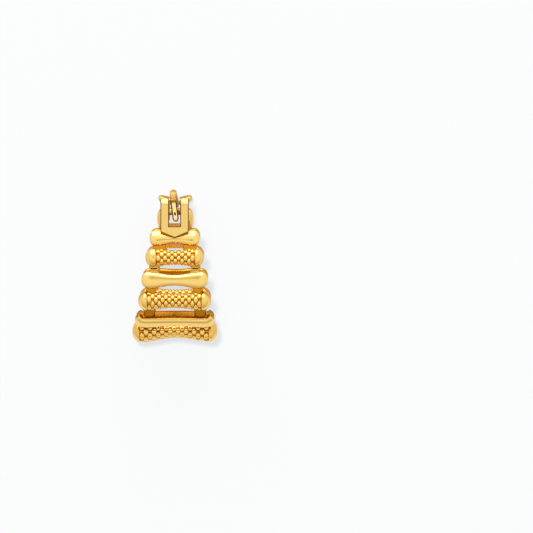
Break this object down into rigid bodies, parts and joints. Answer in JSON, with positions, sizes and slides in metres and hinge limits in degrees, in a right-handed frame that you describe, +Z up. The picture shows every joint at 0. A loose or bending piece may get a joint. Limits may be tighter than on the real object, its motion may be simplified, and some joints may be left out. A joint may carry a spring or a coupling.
{
  "type": "hinged hoop earring",
  "caption": "Hinged hoop earring of graduated smooth and beaded gold bars, with a slotted catch at the back and a swinging ear wire.",
  "frame": {"origin": "on the surface the earring lies on, under the middle of its box", "axes": "+X along the bars, +Y towards the open top of the hoop, +Z up from the surface"},
  "size_m": [0.011, 0.0194, 0.0159],
  "materials": {
    "polished_gold": "polished gold plate",
    "beaded_gold": "polished gold granules",
    "satin_gold": "satin gold plate"
  },
  "bodies": {
    "hoop_body": {"hoop": "polished_gold", "hinge_pin": "satin_gold"},
    "wire_body": {"ear_wire": "satin_gold"}
  },
  "joints": [
    {"name": "wire_hinge", "type": "hinge", "parent": "hoop_body", "child": "wire_body", "pos_m": [0, 0.00831, 0.0038], "axis": [-1, 0, 0], "range_deg": [0, 90]}
  ]
}
